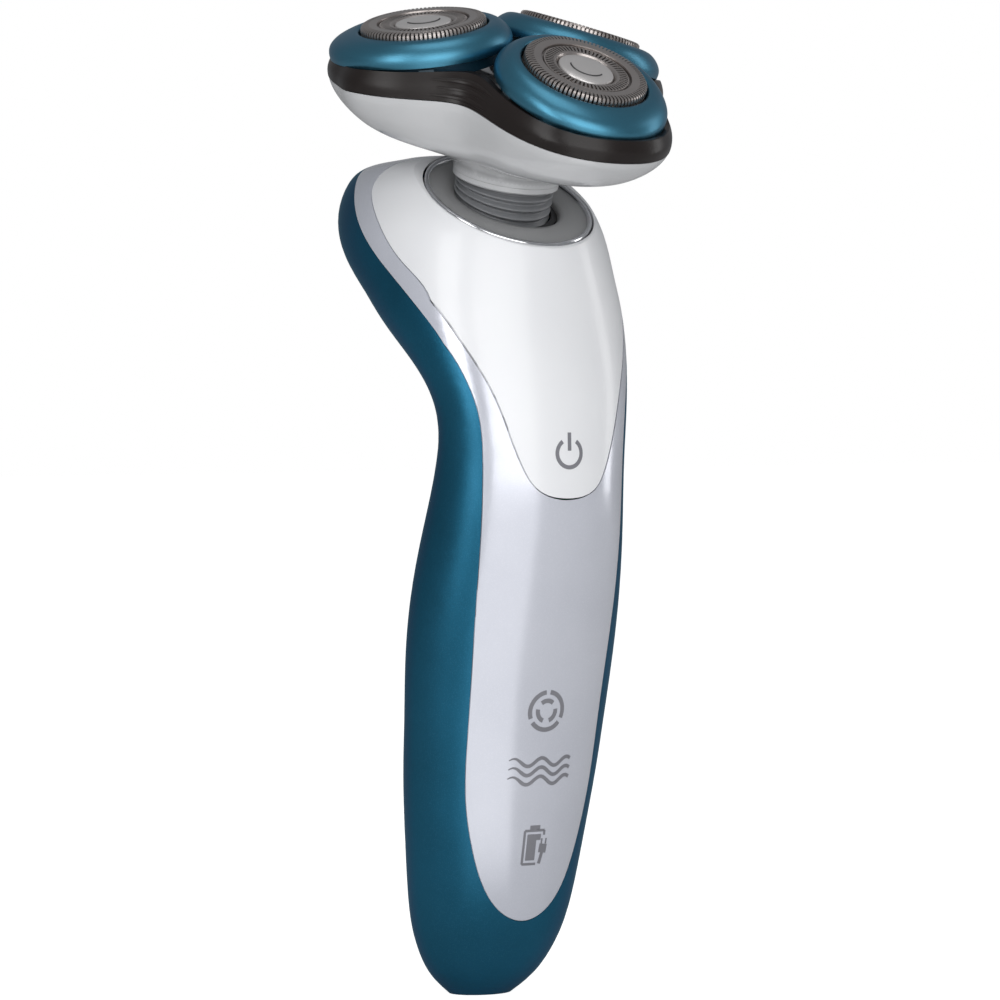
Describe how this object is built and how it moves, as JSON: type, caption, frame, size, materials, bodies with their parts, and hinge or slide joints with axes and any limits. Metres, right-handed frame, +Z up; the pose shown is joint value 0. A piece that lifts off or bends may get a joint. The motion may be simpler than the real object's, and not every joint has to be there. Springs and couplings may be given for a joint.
{
  "type": "rotary electric shaver",
  "caption": "Cordless rotary electric shaver: curved two-tone handle with a white shield, flexing bellows neck and lobed flip-open head carrying rocking round foils.",
  "frame": {"origin": "centre of the charging inlet's mouth, at the handle's bottom end", "axes": "+Z up the handle towards the head, -Y towards the front with the shield and icons, X across"},
  "size_m": [0.0606, 0.0726, 0.1612],
  "materials": {
    "blue_shell": "satin metallic lacquer",
    "blue_pod": "satin metallic lacquer",
    "silver_panel": "pearl lacquer",
    "white_gloss": "gloss",
    "trim": "bright plated",
    "deck": "satin",
    "bellows_rubber": "matt",
    "dark_plastic": "moulded",
    "steel": "turned",
    "cell": "sleeved",
    "nickel": "nickel plated",
    "board": "solder mask",
    "board_part": "moulded",
    "led": "clear",
    "drive_plastic": "acetal",
    "grey_plastic": "moulded",
    "black_band": "gloss",
    "clear_plastic": "clear",
    "foil_steel": "etched",
    "disc_metal": "satin",
    "blade_steel": "ground"
  },
  "bodies": {
    "handle": {"rear_shell": "blue_shell", "front_shell": "silver_panel", "deck_trim": "trim", "deck_plate": "deck", "bellows": "bellows_rubber", "bellows_clamp": "dark_plastic", "motor_mount": "dark_plastic", "motor_can": "steel", "motor_endcap": "dark_plastic", "battery": "cell", "battery_tabs": "nickel", "battery_tray": "dark_plastic", "circuit_board": "board", "board_parts": "board_part", "status_leds": "led", "tact_switch": "dark_plastic", "charge_socket": "dark_plastic", "socket_pins": "nickel"},
    "power_cover": {"front_cover": "white_gloss"},
    "switch_plunger_body": {"switch_plunger": "dark_plastic"},
    "rotor": {"motor_armature": "steel", "motor_coupling": "drive_plastic"},
    "gimbal": {"gimbal_ring": "steel"},
    "head": {"neck_collar": "white_gloss", "head_base": "white_gloss", "gear_cover": "grey_plastic", "cover_screws": "steel", "hinge_pin": "steel"},
    "drive_line": {"drive_shaft": "drive_plastic", "sun_gear": "drive_plastic"},
    "upper_head": {"holder_frame": "black_band", "pod_plate": "grey_plastic", "pod_trunnions": "clear_plastic"},
    "planet_1": {"planet_gear_1": "drive_plastic"},
    "pod_body_1": {"pod_1": "blue_pod", "cap_1": "foil_steel", "cap_disc_1": "disc_metal", "retainer_1": "grey_plastic"},
    "cutter_body_1": {"cutter_1": "blade_steel", "spindle_1": "drive_plastic"},
    "planet_2": {"planet_gear_2": "drive_plastic"},
    "pod_body_2": {"pod_2": "blue_pod", "cap_2": "foil_steel", "cap_disc_2": "disc_metal", "retainer_2": "grey_plastic"},
    "cutter_body_2": {"cutter_2": "blade_steel", "spindle_2": "drive_plastic"},
    "planet_3": {"planet_gear_3": "drive_plastic"},
    "pod_body_3": {"pod_3": "blue_pod", "cap_3": "foil_steel", "cap_disc_3": "disc_metal", "retainer_3": "grey_plastic"},
    "cutter_body_3": {"cutter_3": "blade_steel", "spindle_3": "drive_plastic"}
  },
  "joints": [
    {"name": "power_press", "type": "hinge", "parent": "handle", "child": "power_cover", "pos_m": [0, -0.003, 0.126], "axis": [1, 0, 0], "range_deg": [0, 0.45], "stiffness_Nm_per_rad": 10, "springref_deg": -0.11},
    {"name": "switch_travel", "type": "slide", "parent": "handle", "child": "switch_plunger_body", "axis": [0, 0.9917, 0.1288], "range_m": [0, 0.0004]},
    {"name": "motor_spin", "type": "hinge", "parent": "handle", "child": "rotor", "pos_m": [0, -0.00608, 0.12715], "axis": [0, -0.3173, 0.9483], "continuous": true},
    {"name": "head_pitch", "type": "hinge", "parent": "handle", "child": "gimbal", "pos_m": [0, -0.00732, 0.13085], "axis": [1, 0, 0], "range_deg": [-6, 6], "stiffness_Nm_per_rad": 1.6, "deforming": ["bellows"]},
    {"name": "head_roll", "type": "hinge", "parent": "gimbal", "child": "head", "pos_m": [0, -0.00732, 0.13085], "axis": [0, 0.9483, 0.3173], "range_deg": [-6, 6], "stiffness_Nm_per_rad": 1.6, "deforming": ["bellows"]},
    {"name": "head_open", "type": "hinge", "parent": "head", "child": "upper_head", "pos_m": [0, 0.0115, 0.15275], "axis": [-1, 0, 0], "range_deg": [0, 100]},
    {"name": "drive_spin", "type": "hinge", "parent": "head", "child": "drive_line", "pos_m": [0, -0.00989, 0.13853], "axis": [0, -0.3173, 0.9483], "continuous": true},
    {"name": "planet_spin_1", "type": "hinge", "parent": "head", "child": "planet_1", "pos_m": [0, -0.02481, 0.13775], "axis": [0, -0.3173, 0.9483], "continuous": true},
    {"name": "planet_spin_2", "type": "hinge", "parent": "head", "child": "planet_2", "pos_m": [0.01247, -0.00433, 0.14461], "axis": [0, -0.3173, 0.9483], "continuous": true},
    {"name": "planet_spin_3", "type": "hinge", "parent": "head", "child": "planet_3", "pos_m": [-0.01247, -0.00433, 0.14461], "axis": [0, -0.3173, 0.9483], "continuous": true},
    {"name": "pod_rock_1", "type": "hinge", "parent": "upper_head", "child": "pod_body_1", "pos_m": [0, -0.0288, 0.14486], "axis": [-1, 0, 0], "range_deg": [0, 6], "stiffness_Nm_per_rad": 0.2, "springref_deg": -1.72},
    {"name": "cutter_spin_1", "type": "hinge", "parent": "pod_body_1", "child": "cutter_body_1", "pos_m": [0, -0.0322, 0.15005], "axis": [0, -0.5476, 0.8368], "continuous": true},
    {"name": "pod_rock_2", "type": "hinge", "parent": "upper_head", "child": "pod_body_2", "pos_m": [0.01379, -0.00615, 0.15244], "axis": [0.5, -0.8213, -0.2748], "range_deg": [0, 6], "stiffness_Nm_per_rad": 0.2, "springref_deg": -1.72},
    {"name": "cutter_spin_2", "type": "hinge", "parent": "pod_body_2", "child": "cutter_body_2", "pos_m": [0.01516, -0.0073, 0.15838], "axis": [0.2198, -0.1866, 0.9575], "continuous": true},
    {"name": "pod_rock_3", "type": "hinge", "parent": "upper_head", "child": "pod_body_3", "pos_m": [-0.01379, -0.00615, 0.15244], "axis": [0.5, 0.8213, 0.2748], "range_deg": [0, 6], "stiffness_Nm_per_rad": 0.2, "springref_deg": -1.72},
    {"name": "cutter_spin_3", "type": "hinge", "parent": "pod_body_3", "child": "cutter_body_3", "pos_m": [-0.01516, -0.0073, 0.15838], "axis": [-0.2198, -0.1866, 0.9575], "continuous": true}
  ],
  "couplings": [
    {"joint": "switch_travel", "follows": "power_press", "m_per_rad": 0.0375},
    {"joint": "drive_spin", "follows": "motor_spin", "ratio": 1},
    {"joint": "planet_spin_1", "follows": "motor_spin", "ratio": -0.5},
    {"joint": "planet_spin_2", "follows": "motor_spin", "ratio": -0.5},
    {"joint": "planet_spin_3", "follows": "motor_spin", "ratio": -0.5},
    {"joint": "cutter_spin_1", "follows": "motor_spin", "ratio": -0.5},
    {"joint": "cutter_spin_2", "follows": "motor_spin", "ratio": -0.5},
    {"joint": "cutter_spin_3", "follows": "motor_spin", "ratio": -0.5}
  ]
}
